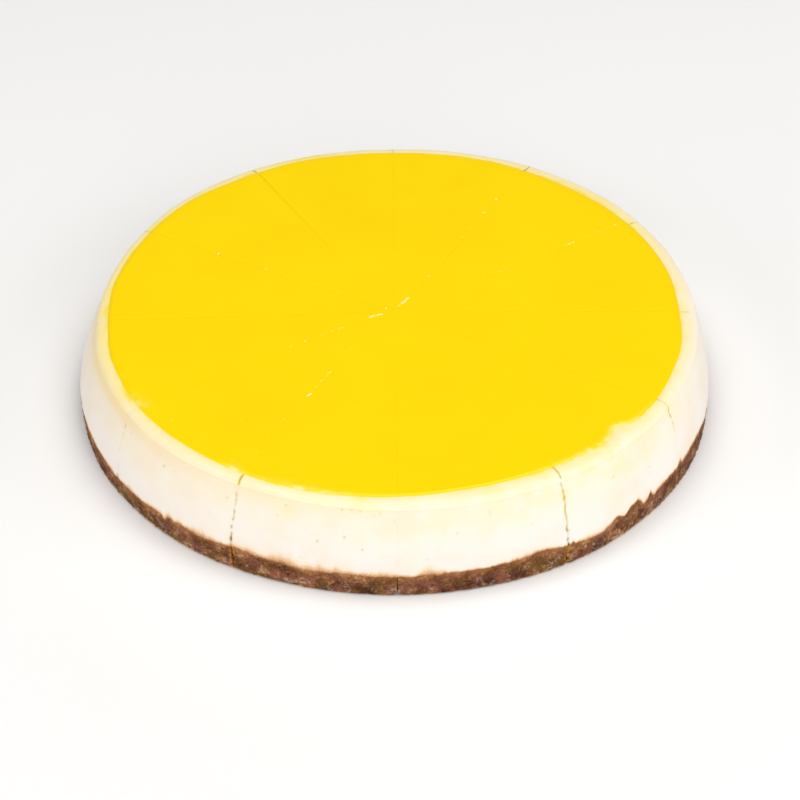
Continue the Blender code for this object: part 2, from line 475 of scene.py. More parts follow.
# Rows of (radius, height, and 1 where it shows)
def crustOutline(angle):
    line = tornLine(angle)
    rise = crustLine(angle) - crust["height"]
    inner, outer = crust["raggedRings"]
    foot = wallRadius(angle, crust["chamfer"])
    edge = wallRadius(angle, crust["height"])
    low = crust["wallFrom"]
    rows = [(reach, 0.0, 0) for reach in crust["underRows"]]
    rows.append((foot - crust["chamfer"], 0.0, 1))
    for row in range(crust["rows"] + 1):
        share = row / crust["rows"]
        height = low + share * (line - low)
        tuck = crust["chamfer"] * crust["chamferTuck"] * (1 - smooth(0, crust["chamfer"], height))
        rows.append((foot + share * (edge - foot) - tuck, height, 1))
    rows.append((outer, crust["height"] + rise * crust["outerRingRise"], 0))
    return rows + [(reach, crust["height"], 0) for reach in (inner, cake["halfway"], 0.0)]


def makeCrust(number, material, pits):
    first, last = cutAngle(number), cutAngle(number + 1)
    pits = nearSlice(pits, first, last)
    columns = []
    for column in columnsOf(first, last):
        angle, _ = columnAngle(first, last, column, cake["radius"])
        line = tornLine(angle)
        points = []
        for radius, height, shows in crustOutline(angle):
            point, heading, away, cut = placePoint(number, first, last, column, radius, height)
            relief, tint, gap = crumbAt(point)
            deep = hollowAt(heading, height, pits, crust["pitSteepness"]) if shows else 0.0
            if shows:
                lip = (crust["lip"] + gapAt(cut, radius, height)) * math.exp(-away / knife["lipWidth"])
                whole = crust["leastRelief"] + smooth(0, crust["fullFrom"], height)
                out = relief * whole - deep - lip
                if height == 0.0:
                    out = relief * crust["underRelief"] - lip
                point += direction(heading) * out
            (patchSize, patchy), (gritSize, gritty) = crust["patch"], crust["grit"]
            patch, grit = noise.noise(point / patchSize), noise.noise(point / gritSize)
            share, below = clamp(height / line), line - height
            # Pale meal at the foot and beside the cuts, and pale flakes in the lower half
            dusted = max(bell(heading, *window) for window in crust["dusted"])
            beside = math.exp(-((away / crust["dustBeside"]) ** 2))
            dusted = max(dusted, knife["cuts"][cut][8] * beside)
            everywhere, more, uneven = crust["mealTop"]
            meal = smooth(everywhere + more * dusted + uneven * grit, crust["mealFoot"], height)
            meal *= crust["mealLeast"] + (1 - crust["mealLeast"]) * dusted
            curl = abs(noise.noise(point / crust["flakeCurl"] + Vector((9, 4, 2))))
            flaky = noise.noise(point / crust["flakePatch"] + Vector((2, 8, 5)))
            flaky += crust["flakeDusted"] * dusted
            narrow, inPatch, lowDown = crust["flakes"]
            chalk = smooth(*narrow, curl) * smooth(*inPatch, flaky) * smooth(*lowDown, share)
            foot, rise = crust["shade"]
            torn, fade = crust["tornShade"]
            base = foot + rise * share + torn * math.exp(-below / fade)
            # Painted shade between the crumbs and in the pits
            usual, patchwise = crust["paintedCrumbShade"]
            paintedShade = max(gap * (usual - patchwise * patch), deep * crust["paintedPitShade"])
            meal = clamp(max(meal, chalk * crust["flakePale"]))
            juice = knife["cuts"][cut][8] * math.exp(-((away / crust["juiceBeside"]) ** 2))
            even, gritwise = crust["seepSwing"]
            points.append((point, {
                "crumb": clamp(base + patchy * patch + crust["tint"] * tint + gritty * grit),
                "crevice": clamp(paintedShade),
                "meal": meal if shows else crust["underMeal"],
                "toast": math.exp(-below / crust["toastDepth"]) if shows else 0.0,
                "seep": clamp(juice * (even + gritwise * grit)) if shows else 0.0,
            }))
        columns.append(points)
    makePiece("crust", number, columns, material, "crust")


# Pressed biscuit crumb, baked: matt mauve-brown grains, each its own tint, with shade painted between them,
# toasted orange along the torn top and dusty with pale meal along the foot
def pressedBiscuitCrumb():
    material, tree, shader = newMaterial("pressedBiscuitCrumb")
    place = addNode(tree, "TexCoord").outputs["Object"]
    marks = {}
    for mark in ("crumb", "crevice", "meal", "toast", "seep"):
        marks[mark] = addNode(tree, "Attribute", {"attribute_name": mark}).outputs["Fac"]
    # Grit: single grains of 0.5 mm, so 2000 to the metre
    grit = addNode(tree, "TexNoise", {"Scale": 2000.0, "Detail": 3.0, "Roughness": 0.65},
                   {"Vector": place})
    flake = addNode(tree, "TexVoronoi", {"Scale": 1100.0}, {"Vector": place})
    speckle = addNode(tree, "Math", {"operation": "MULTIPLY_ADD", 1: 0.4, 2: -0.2},
                      {0: grit.outputs["Fac"]})
    tint = addNode(tree, "Math", {"operation": "ADD", "use_clamp": True},
                   {0: marks["crumb"], 1: speckle.outputs[0]})
    stops = [(0.12, tone(crust["pressedDark"])), (0.45, tone(crust["biscuit"])),
             (0.72, tone(crust["lightBiscuit"])), (0.98, tone(crust["paleGrain"]))]
    grain = addNode(tree, "ValToRGB", {"stops": stops}, {"Fac": tint.outputs[0]})
    # Some of the biscuit browned redder and some took up more butter, in patches of 8 mm
    batch = addNode(tree, "TexNoise", {"Scale": 120.0, "Detail": 2.0}, {"Vector": place})
    redder = addNode(tree, "MapRange", {"From Min": 0.5, "From Max": 0.62, "To Max": 0.6},
                     {"Value": batch.outputs["Fac"]})
    oilier = addNode(tree, "MapRange", {"From Min": 0.47, "From Max": 0.36, "To Max": 0.6},
                     {"Value": batch.outputs["Fac"]})
    colour = grain.outputs["Color"]
    for amount, batchColour in ((redder, "redBiscuit"), (oilier, "oiledBiscuit")):
        mixed = addNode(tree, "Mix", {"data_type": "RGBA", 7: tone(crust[batchColour])},
                        {0: amount.outputs[0], 6: colour})
        colour = mixed.outputs[2]
    # The shadow coat paints shade between the crumbs and in the pits
    for mark, coat, most in crust["coats"]:
        amount = addNode(tree, "Math", {"operation": "MULTIPLY", 1: most}, {0: marks[mark]})
        coated = addNode(tree, "Mix", {"data_type": "RGBA", 7: tone(crust[coat])},
                         {0: amount.outputs[0], 6: colour})
        colour = coated.outputs[2]
    tree.links.new(colour, shader.inputs["Base Color"])
    rough = addNode(tree, "MapRange", {"To Min": 0.72, "To Max": 0.95},
                    {"Value": grit.outputs["Fac"]})
    tree.links.new(rough.outputs[0], shader.inputs["Roughness"])
    relief = addNode(tree, "Math", {"operation": "ADD"},
                     {0: grit.outputs["Fac"], 1: flake.outputs["Distance"]})
    bump = addNode(tree, "Bump", {"Strength": 0.22, "Distance": 0.0003},
                   {"Height": relief.outputs[0]})
    tree.links.new(bump.outputs["Normal"], shader.inputs["Normal"])
    shader.inputs["IOR"].default_value = 1.45
    shader.inputs["Specular IOR Level"].default_value = 0.3
    return material


# The filling: baked cream cheese, smooth from the tin, with small air bubbles at the wall
cream = {
    "wallRows": 60,
    "rimRows": 16,
    "rimHeight": 40.5,  # 0.3 over the solid's, so that the glaze lies in it
    "rimFullness": 0.85,  # under 1 is fuller than a quarter ellipse
    "trayDepth": 1.6,
    "juiceGap": 0.05,
    "lipTuck": 0.1,  # the rim starts this far under the thin edge of the glaze
    "unevenness": ((0.14, 11.0), (0.05, 3.2)),  # depth and length of soft swells and dimples
    "crease": 0.16,  # depth of the soft crease along the shoulder
    "creaseHeadings": ((260, 40), (20, 40), (110, 25)),
    "fringe": (0.85, 1.3),  # how fast the stain over the crust fades: least, and how much more
    "fringeSwing": (0.5, 1.4, 12.0),  # middle, swing and length, as are the other swings
    "fringeRipple": (1.0, 0.35, 2.3),
    "fringeFront": (254.0, 26.0, 0.4),  # widest round this direction, and this share of it elsewhere
    # where it soaked down the wall from the rim: direction, half-width and strength
    "washed": ((300, 24, 0.24), (262, 26, 0.09), (325, 16, 0.14)),
    # where the lemon has spread over the whole rim: direction, half-width and strength
    "soaked": ((195, 42, 0.36), (5, 30, 0.28), (50, 34, 0.56), (120, 45, 0.46), (316, 16, 0.30)),
    "leastSoaked": 0.17,  # and everywhere else
    "bleed": (0.2, 1.8, 0.58),  # it stays full this far from the glaze, how fast it fades then, how strong
    "bleeds": ((182, 34, 0.9), (60, 60, 0.4), (120, 40, 0.5)),  # and where it went further
    "bleedPower": 0.7,
    "bleedLevels": (34.6, 39.1),
    "soakSwing": (1.05, 0.4, 9.0),
    "streaks": 5.625,  # its streaks are this much finer from the glaze out and down
    "pores": (  # direction, height, radius and depth of broken bubbles at the front
        (260.6, 37.4, 0.45, 0.5), (262.3, 37.6, 0.4, 0.4), (263.9, 37.3, 0.4, 0.4), (267.4, 36.8, 0.4, 0.4),
        (261.2, 26.6, 0.5, 0.6), (256.5, 23.6, 0.5, 0.6), (264.4, 22.2, 0.5, 0.5), (250.4, 35.6, 0.4, 0.4),
        (287.0, 33.4, 0.4, 0.4), (312.5, 30.5, 0.45, 0.4), (322.0, 24.0, 0.4, 0.4),
    ),
    # and round the whole wall: how many, their heights, radii and depths, and the seed
    "smallPores": (50, (14.2, 37.6), (0.3, 0.5), (0.2, 0.5), 5),
    "poreSteepness": 1.0,
    "poreDepth": 0.5,  # how much of that depth is left in the baked wall
    # how much shade is painted in a pore, by its depth
    "poreShade": 1.3,
    "seam": 0.05,  # the wall starts this far under the crust's line
    "creaseTurn": (0.45, 0.16),  # where the crease lies on the shoulder's curve, and its width, in radians
    "leastCrease": 0.25,
    "gapRound": (0.9, 0.4),  # how far an open cut's edge is rounded off: share of the gap, and at most
    "soakReach": (7.5, 4.0),  # the rim's soak is gone this far from the glaze, and whole this near
    "sunk": (0.09, 0.22, 16, 36),  # lemon that sank down the wall: least, how much more, from and up to here
    "sunkPatch": 9.0,
    "washedFrom": (21, 39),
    "washedSwing": (0.9, 0.8, 5.0),
    "seepSwing": (0.7, 1.2, 1.8),
    "juiceWidth": 0.5,  # of the juice beside an open cut
    # painted warm shade, a band just under the shoulder and a wide one down the left side: direction,
    # half-width, height, depth and strength
    "paintedWarmShades": ((202.0, 32.0, 36.6, 3.0, 0.55), (190.0, 42.0, 32.0, 10.0, 0.16)),
    "warmShadeTint": "#FFD9A3",
    "curd": "#FFF4EA",
    "bakedCurd": "#FDEBD4",
    "jellySoak": "#FFDF4A",
    "lemonSoak": "#FFE88A",
    "butterStain": "#F2D0A8",
    "biscuitStain": "#DBA678",
    "crumbStain": "#A86F42",
    # olive: painted shade in the broken bubbles, stronger where they are deeper
    "bubbleShade": "#C6C272",
    "juice": "#DFC544",
    "crackShade": "#7E5526",
}


def glazeRadius(angle):
    shift = glaze["offset"][0] * math.cos(angle) + glaze["offset"][1] * math.sin(angle)
    shift += tableAt(angle, glaze["pour"])
    heading, halfWidth, depth, length, allAlong = glaze["nibbled"]
    bite = max(0.0, noise.noise(direction(angle) * (cake["radius"] / length)) + allAlong)
    shift -= depth * bite * bell(angle, heading, halfWidth)
    shift -= sum(deep * bell(angle, place, width) for place, deep, width in glaze["bites"])
    return glaze["radius"] + shift + wave(angle, glaze["edgeWave"])


def creaseAt(angle):
    windows = [(heading, halfWidth, 1.0) for heading, halfWidth in cream["creaseHeadings"]]
    return cream["crease"] * max(cream["leastCrease"], strongest(angle, windows))


# Rows of (radius, height, how far out and up the relief goes); rows without relief are hidden
def creamOutline(angle):
    line = tornLine(angle)
    rise = crustLine(angle) - crust["height"]
    inner, outer = crust["raggedRings"]
    shoulder = cake["shoulderHeight"]
    rows = [(reach, crust["height"], 0, 0) for reach in (0.0, cake["halfway"], inner)]
    rows.append((outer, crust["height"] + rise * crust["outerRingRise"], 0, 0))
    for row in range(cream["wallRows"] + 1):
        height = line - cream["seam"] + (shoulder - line + cream["seam"]) * row / cream["wallRows"]
        rows.append((wallRadius(angle, height), height, 1, 0))
    edge = rows[-1][0]
    lip = glazeRadius(angle) - cream["lipTuck"]
    crease, (creaseTurn, creaseWidth) = creaseAt(angle), cream["creaseTurn"]
    for row in range(1, cream["rimRows"] + 1):
        turn = math.pi / 2 * row / cream["rimRows"]
        sunk = crease * math.exp(-(((turn - creaseTurn) / creaseWidth) ** 2))
        out, up = math.cos(turn) ** cream["rimFullness"], math.sin(turn) ** cream["rimFullness"]
        radius = lip + (edge - lip) * out - sunk * out
        height = shoulder + (cream["rimHeight"] - shoulder) * up - sunk * up
        rows.append((radius, height, out, up))
    tray = cream["rimHeight"] - cream["trayDepth"]
    return rows + [(reach, tray, 0, 0) for reach in (lip, cake["halfway"], 0.0)]


def makeCream(number, material, pores):
    first, last = cutAngle(number), cutAngle(number + 1)
    pores = nearSlice(pores, first, last)
    columns = []
    for column in columnsOf(first, last):
        angle, _ = columnAngle(first, last, column, cake["radius"])
        line = tornLine(angle)
        lip = glazeRadius(angle) - cream["lipTuck"]
        around = direction(angle) * cake["radius"]
        wide = max(cream["leastSoaked"], strongest(angle, cream["soaked"]))
        washed = strongest(angle, cream["washed"])
        further = 1 + strongest(angle, cream["bleeds"])
        full, fall, strong = cream["bleed"]
        leastFade, moreFade = cream["fringe"]
        heading, halfWidth, least = cream["fringeFront"]
        fade = leastFade + moreFade * clamp(swingAt(around, cream["fringeSwing"]))
        fade *= swingAt(around, cream["fringeRipple"])
        fade *= least + (1 - least) * bell(angle, heading, halfWidth)
        paintedWarmShades = [(level, depth, strength * bell(angle, heading, halfWidth))
                 for heading, halfWidth, level, depth, strength in cream["paintedWarmShades"]]
        points = []
        for radius, height, out, up in creamOutline(angle):
            point, heading, away, cut = placePoint(number, first, last, column, radius, height)
            gap, pore, juice = gapAt(cut, radius, height), 0.0, 0.0
            if out or up:
                relief = sum(depth * noise.noise(point / length) for depth, length in cream["unevenness"])
                rounded, most = cream["gapRound"]
                relief -= min(most, gap * rounded) * math.exp(-away / knife["lipWidth"])
                pore = hollowAt(heading, height, pores, cream["poreSteepness"])
                relief -= pore * cream["poreDepth"]
                opened = clamp(gap / cream["juiceGap"])
                juice = knife["cuts"][cut][8] * opened * math.exp(-((away / cream["juiceWidth"]) ** 2))
                point += direction(heading) * (relief * out)
                point.z += relief * up
            # The lemon: bled from the glaze, spread over the rim, sunk and washed down the wall
            past = radius - lip
            bled = strong * further ** cream["bleedPower"]
            bled *= math.exp(-max(0.0, past - full * further) / (fall * further))
            bled *= smooth(*cream["bleedLevels"], height)
            band = wide * smooth(*cream["soakReach"], past) + (1 - wide) * bled
            shade = swingAt(around + Vector((0, 0, (past - height) * cream["streaks"])), cream["soakSwing"])
            leastSunk, moreSunk, *levels = cream["sunk"]
            sunk = leastSunk + moreSunk * max(0.0, noise.noise(point / cream["sunkPatch"]))
            sunk *= smooth(*levels, height)
            sunk += washed * smooth(*cream["washedFrom"], height) * swingAt(point, cream["washedSwing"])
            # Painted warm shade on the left side of the wall and under its shoulder
            warmShadeSum = sum(glow * math.exp(-(((height - level) / depth) ** 2)) for level, depth, glow in paintedWarmShades)
            points.append((point, {
                "soak": clamp(band * shade + sunk),
                "stain": math.exp(-max(0.0, height - line) / fade) if out else 0.0,
                "glow": clamp(warmShadeSum),
                "seep": clamp(juice * swingAt(point, cream["seepSwing"])),
                "pore": clamp(pore * cream["poreShade"]),
            }))
        columns.append(points)
    makePiece("cream", number, columns, material, "filling")


# Baked cream cheese, set against a smooth tin: a warm white satin that light enters a little,
# with pale yellow where the lemon soaks in and a toasted stain where it meets the crust
def bakedCreamCheese():
    material, tree, shader = newMaterial("bakedCreamCheese")
    place = addNode(tree, "TexCoord").outputs["Object"]
    marks = {}
    for mark in ("soak", "stain", "glow", "seep", "pore"):
        marks[mark] = addNode(tree, "Attribute", {"attribute_name": mark}).outputs["Fac"]
    # Patches of deeper baking, about 20 mm across
    patch = addNode(tree, "TexNoise", {"Scale": 50.0, "Detail": 4.0, "Roughness": 0.55},
                    {"Vector": place})
    baked = addNode(tree, "ValToRGB",
                    {"stops": [(0.48, tone(cream["curd"])), (0.8, tone(cream["bakedCurd"]))]},
                    {"Fac": patch.outputs["Fac"]})
    drenched = addNode(tree, "MapRange", {"From Min": 0.86, "From Max": 1.0, "To Max": 0.8},
                       {"Value": marks["soak"]})
    colour = baked.outputs["Color"]
    # Painted warm shade first, then the lemon soak and the pores
    for amount, coat in ((marks["glow"], "warmShadeTint"), (marks["soak"], "lemonSoak"),
                         (drenched.outputs[0], "jellySoak"), (marks["pore"], "bubbleShade")):
        coated = addNode(tree, "Mix", {"data_type": "RGBA", 7: tone(cream[coat])},
                         {0: amount, 6: colour})
        colour = coated.outputs[2]
    # The stain over the crust, broken up by grains of 0.8 mm
    grain = addNode(tree, "TexNoise", {"Scale": 1250.0, "Detail": 2.0, "Roughness": 0.6},
                    {"Vector": place})
    torn = addNode(tree, "MapRange",
                   {"From Min": 0.3, "From Max": 0.7, "To Min": 0.7, "To Max": 1.25},
                   {"Value": grain.outputs["Fac"]})
    stained = addNode(tree, "Math", {"operation": "MULTIPLY", "use_clamp": True},
                      {0: torn.outputs[0], 1: marks["stain"]})
    stops = [(0.0, tone(cream["bakedCurd"])), (0.25, tone(cream["butterStain"])),
             (0.6, tone(cream["biscuitStain"])), (0.95, tone(cream["crumbStain"]))]
    stain = addNode(tree, "ValToRGB", {"stops": stops}, {"Fac": stained.outputs[0]})
    cover = addNode(tree, "Math", {"operation": "MULTIPLY", "use_clamp": True, 1: 4.0},
                    {0: stained.outputs[0]})
    fringed = addNode(tree, "Mix", {"data_type": "RGBA"},
                      {0: cover.outputs[0], 6: colour, 7: stain.outputs["Color"]})
    # Juice in the cracks, yellow high on the wall; down at the crust the cracks get painted shade, brown
    level = addNode(tree, "SeparateXYZ", {}, {"Vector": place})
    low = addNode(tree, "MapRange", {"From Min": 0.022, "From Max": 0.012},
                  {"Value": level.outputs["Z"]})
    ends = {6: tone(cream["juice"]), 7: tone(cream["crackShade"])}
    juice = addNode(tree, "Mix", {"data_type": "RGBA", **ends}, {0: low.outputs[0]})
    seeped = addNode(tree, "Mix", {"data_type": "RGBA"},
                     {0: marks["seep"], 6: fringed.outputs[2], 7: juice.outputs[2]})
    tree.links.new(seeped.outputs[2], shader.inputs["Base Color"])
    # Satin skin: grain of the curd 0.7 mm
    skin = addNode(tree, "TexNoise", {"Scale": 1400.0, "Detail": 2.0}, {"Vector": place})
    rough = addNode(tree, "MapRange", {"To Min": 0.42, "To Max": 0.6},
                    {"Value": patch.outputs["Fac"]})
    tree.links.new(rough.outputs[0], shader.inputs["Roughness"])
    bump = addNode(tree, "Bump", {"Strength": 0.25, "Distance": 0.0002},
                   {"Height": skin.outputs["Fac"]})
    tree.links.new(bump.outputs["Normal"], shader.inputs["Normal"])
    shader.inputs["IOR"].default_value = 1.42
    shader.inputs["Specular IOR Level"].default_value = 0.35
    shader.inputs["Subsurface Weight"].default_value = 0.25
    shader.inputs["Subsurface Radius"].default_value = (1.0, 0.7, 0.4)
    shader.inputs["Subsurface Scale"].default_value = 0.0012
    return material


# The glaze: lemon jelly poured on the cold cake and set
glaze = {
    "radius": 116.0,
    "offset": (-1.0, -0.9),
    "edgeWave": (0.5, 22, 31.1),
    "overlap": 0.45,  # it wets the rim this far past the solid's edge
    # how much further out or in its edge lies than the even pour, every 15 degrees from +X
    "pour": (-0.3, 0.4, 1.0, 1.5, 1.6, 1.9, 1.3, 1.9, 1.0, 1.7, 0.4, -1.1,
             -1.8, -0.9, -0.5, -0.6, 0.3, 0.3, -0.5, -1.6, -0.9, 0.5, 1.0, 0.4),
    # its edge was rubbed: direction, half-width, depth, length, and how much of it is rubbed all along
    "nibbled": (316.0, 13.0, 1.0, 2.6, 0.15),
    "bites": ((319.0, 3.8, 2.9), (315.2, 0.5, 0.7), (309.5, 0.5, 1.2)),  # direction, depth, half-width
    # how far in from the edge, and how far under the top: the meniscus of a set jelly
    "edge": ((0.0, 0.88), (0.05, 0.7), (0.14, 0.54), (0.3, 0.38), (0.52, 0.24), (0.82, 0.12),
             (1.2, 0.04), (1.8, 0.0)),
    "inner": (2.6, 4.6, 6.4, 8.6, 11.5, 15, 19, 23.5, 28.5, 34, 40, 46, 52, 58, 64, 70, 76, 82,
              87, 92, 96, 100, 103.5, 106.5, 109, 111, 112.6, 113.8),
    "innerPull": 1.1,
    "ripple": (0.05, 17.0),  # depth and length
    "rippleFrom": (1, 8),  # it begins and is whole this far in from the edge
    "lipSink": 1.6,  # the top sinks by this share of the gap beside a cut
    "lipWidth": 0.2,
    "scarFrom": (2, 12),
    "scar": (0.06, 0.55),  # depth and half-width of the dent that every cut left
    # cream wiped over the edge, and highlights painted along its rounded edge round 238.5 and 253 degrees:
    # direction, half-width, how far in and how strong
    "filmsAndHighlights": ((315.0, 9.0, 1.4, 0.5), (211.0, 2.5, 3.0, 0.25), (238.5, 1.6, 1.6, 0.8),
              (253.0, 6.0, 1.6, 0.5)),
    "filmAndHighlightStreaks": (4.0, 1.5),  # their length round the cake and inwards
    "filmAndHighlightSwing": (0.75, 1.5),
    "floor": 0.1,  # it starts this far over the tray, and inside the rim
    "buried": 0.12,  # and its hidden side ends this far under the rim's top
    "edgeFade": 1.3,  # how fast the look of the edge fades inwards
    "jelly": "#FFDC00",
    "deepJelly": "#FFD700",
    "thickEdge": "#FFD800",
    "thinEdge": "#FFE64A",
    "film": "#FFF3A6",
}


# Rows of (radius, height, how far in from the edge, and 0 where it is hidden)
def glazeOutline(angle):
    edge = glazeRadius(angle) + glaze["overlap"]
    low = cream["rimHeight"] - cream["trayDepth"] + glaze["floor"]
    wall = glazeRadius(angle) - cream["lipTuck"] - glaze["floor"]
    rows = [(reach, low, 0) for reach in (0.0, cake["halfway"], wall)]
    rows.append((wall, cream["rimHeight"] - glaze["buried"], 0))
    for inset, under in glaze["edge"]:
        rows.append((edge - inset, cake["height"] - under, inset + 0.001))
    for inset in glaze["inner"]:
        rows.append((edge - inset * edge / cake["radius"] * glaze["innerPull"], cake["height"], inset))
    rows.append((0.0, cake["height"], edge))
    return rows


# Cream wiped over the glaze's edge, and highlights painted along it
def filmAndHighlightAt(angle, inset):
    film = 0.0
    (around, inwards), (middle, swing) = glaze["filmAndHighlightStreaks"], glaze["filmAndHighlightSwing"]
    streak = direction(angle) * (cake["radius"] / around) + Vector((0, 0, inset / inwards))
    for heading, halfWidth, reach, strength in glaze["filmsAndHighlights"]:
        band = bell(angle, heading, halfWidth) * math.exp(-((inset / reach) ** 2))
        film = max(film, band * strength)
    return clamp(film * (middle + swing * noise.noise(streak)))


def makeGlaze(number, material):
    first, last = cutAngle(number), cutAngle(number + 1)
    columns = []
    for column in columnsOf(first, last):
        angle, _ = columnAngle(first, last, column, cake["radius"])
        points = []
        for radius, height, inset in glazeOutline(angle):
            point, heading, away, cut = placePoint(number, first, last, column, radius, height)
            if inset:
                depth, length = glaze["ripple"]
                sink = glaze["lipSink"] * gapAt(cut, radius, height) * math.exp(-away / glaze["lipWidth"])
                deep, half = glaze["scar"]
                sink += deep * math.exp(-((away / half) ** 2)) * smooth(*glaze["scarFrom"], radius)
                ripple = depth * noise.noise(point / length) * smooth(*glaze["rippleFrom"], inset)
                point.z += ripple - sink
            points.append((point, {
                "edge": math.exp(-inset / glaze["edgeFade"]) if inset else 0.0,
                "film": filmAndHighlightAt(heading, inset) if inset else 0.0,
            }))
        columns.append(points)
    makePiece("glaze", number, columns, material, "lemon")


# Set lemon jelly, poured and left to level: an even, saturated yellow under a wet gloss,
# a little deeper where the edge is thick and paler where it thins out over the rim
def setLemonJelly():
    material, tree, shader = newMaterial("setLemonJelly")
    place = addNode(tree, "TexCoord").outputs["Object"]
    edge = addNode(tree, "Attribute", {"attribute_name": "edge"}).outputs["Fac"]
    film = addNode(tree, "Attribute", {"attribute_name": "film"}).outputs["Fac"]
    # Soft clouds of pulp, about 40 mm across
    cloud = addNode(tree, "TexNoise", {"Scale": 25.0, "Detail": 3.0}, {"Vector": place})
    body = addNode(tree, "ValToRGB",
                   {"stops": [(0.3, tone(glaze["jelly"])), (0.75, tone(glaze["deepJelly"]))]},
                   {"Fac": cloud.outputs["Fac"]})
    black, grey = (0, 0, 0, 1), (0.7, 0.7, 0.7, 1)
    thick = addNode(tree, "ValToRGB",
                    {"stops": [(0.0, black), (0.45, grey), (0.8, grey), (1.0, black)]}, {"Fac": edge})
    thin = addNode(tree, "MapRange", {"From Min": 0.86, "From Max": 1.0, "To Max": 0.85},
                   {"Value": edge})
    colour = body.outputs["Color"]
    # Over the body: the thick and thin edge, then wiped cream and painted highlights
    for amount, coat in ((thick.outputs["Color"], "thickEdge"), (thin.outputs[0], "thinEdge"),
                         (film, "film")):
        coated = addNode(tree, "Mix", {"data_type": "RGBA", 7: tone(glaze[coat])},
                         {0: amount, 6: colour})
        colour = coated.outputs[2]
    tree.links.new(colour, shader.inputs["Base Color"])
    # The skin of the jelly: faint orange-peel of 6 mm
    peel = addNode(tree, "TexNoise", {"Scale": 170.0, "Detail": 2.0}, {"Vector": place})
    rough = addNode(tree, "MapRange", {"To Min": 0.1, "To Max": 0.2},
                    {"Value": peel.outputs["Fac"]})
    tree.links.new(rough.outputs[0], shader.inputs["Roughness"])
    bump = addNode(tree, "Bump", {"Strength": 0.1, "Distance": 0.0005},
                   {"Height": peel.outputs["Fac"]})
    tree.links.new(bump.outputs["Normal"], shader.inputs["Normal"])
    shader.inputs["IOR"].default_value = 1.36
    shader.inputs["Specular IOR Level"].default_value = 0.35
    return material


# Flecks of cream that the knife drew up along the cuts in the glaze, and pale streaks along its edge: cream
# wiped there, and painted highlights
flecks = {
    # along the cuts: cut, from and to, how many, their length and half their width
    "cutFlecks": (
        (7, 4.8, 11.6, 6, 1.7, 0.32), (5, 3.0, 4.2, 1, 1.3, 0.40), (2, 3.0, 5.0, 2, 1.1, 0.30),
        (2, 6.2, 11.0, 5, 1.6, 0.34), (2, 28.2, 29.0, 1, 1.3, 0.40), (1, 12.0, 13.0, 1, 0.8, 0.20),
        (1, 27.5, 29.0, 2, 0.9, 0.24), (1, 36.0, 38.0, 2, 0.8, 0.20), (1, 42.5, 44.5, 2, 1.0, 0.24),
        (1, 49.0, 75.0, 15, 1.0, 0.22), (1, 84.0, 89.5, 6, 1.2, 0.28), (1, 94.5, 97.0, 2, 1.0, 0.26),
        (1, 102.0, 113.0, 7, 1.1, 0.26), (2, 54.0, 55.5, 1, 0.9, 0.22), (2, 59.5, 61.0, 1, 1.0, 0.26),
        (2, 66.5, 67.5, 1, 0.9, 0.22), (2, 79.7, 80.8, 1, 1.3, 0.34), (2, 91.0, 92.3, 1, 1.2, 0.32),
        (5, 83.2, 84.4, 1, 1.2, 0.34), (5, 60.2, 61.6, 1, 1.0, 0.24), (5, 39.5, 43.6, 4, 0.9, 0.22),
        (5, 26.0, 27.0, 1, 0.9, 0.20), (7, 46.5, 47.8, 1, 1.1, 0.28), (7, 40.0, 41.2, 1, 1.0, 0.26),
        (7, 29.8, 33.8, 4, 1.1, 0.28), (7, 27.6, 28.6, 1, 1.1, 0.30), (7, 22.6, 25.6, 2, 1.0, 0.26),
        (8, 21.8, 22.8, 1, 0.9, 0.22), (8, 29.6, 35.6, 4, 1.1, 0.24), (8, 46.6, 58.8, 11, 1.2, 0.24),
        (8, 62.6, 64.8, 2, 1.6, 0.30), (8, 67.0, 68.2, 1, 1.0, 0.24), (8, 80.8, 86.4, 3, 1.1, 0.22),
        (8, 95.0, 96.2, 1, 1.0, 0.22), (8, 103.5, 104.7, 1, 1.0, 0.22),
    ),
    # elsewhere: direction, distance from the middle, length and half the width
    "looseFlecks": (
        (225.6, 91.2, 0.8, 0.22), (229.7, 92.2, 0.9, 0.24), (229.6, 78.1, 0.8, 0.22),
        (231.9, 82.0, 0.7, 0.20), (233.3, 87.6, 0.7, 0.20), (251.8, 93.1, 0.7, 0.20),
        (6.3, 28.5, 0.8, 0.20), (216.5, 111.0, 1.0, 0.30), (205.0, 109.5, 0.9, 0.26),
    ),
    # along the edge of the glaze, given in the same way: the first four are painted highlights on its
    # rounded edge, the last two cream wiped over it
    "edgeSmearsAndHighlights": (
        (236.9, 113.8, 3.0, 0.42), (239.7, 114.7, 2.6, 0.36), (244.6, 113.6, 3.0, 0.24),
        (250.6, 113.4, 3.4, 0.26), (209.4, 111.6, 3.0, 0.34), (219.0, 111.4, 3.4, 0.30),
    ),
    "fullness": 2.1,  # how much wider they settled than the blade left them
    "edgePale": 0.05,  # they thin out to this at their edge
    "loosePale": 0.2,
    "edgeStreakPale": 0.12,
    "edgeStreakPales": (0.6, 1.2),
    "tilt": 0.2,
    "scatter": 0.25,  # how far beside the cut they lie
    "sizes": (0.75, 1.25),
    "paleFrom": (0.2, 0.16),  # this narrow they are clear, and this much wider they are pale
    "pales": (0.1, 0.9),
    "looseHeight": 0.6,
    "edgeStreakBend": 0.12,
    "lobes": (0.16, 0.1),  # how uneven their outline is: three lobes, then five
    "height": (0.06, 0.14),
    "sunk": 0.06,
    "sides": 14,
    "rings": 4,
    "seed": 12,
    "colour": "#FFF3A0",
}


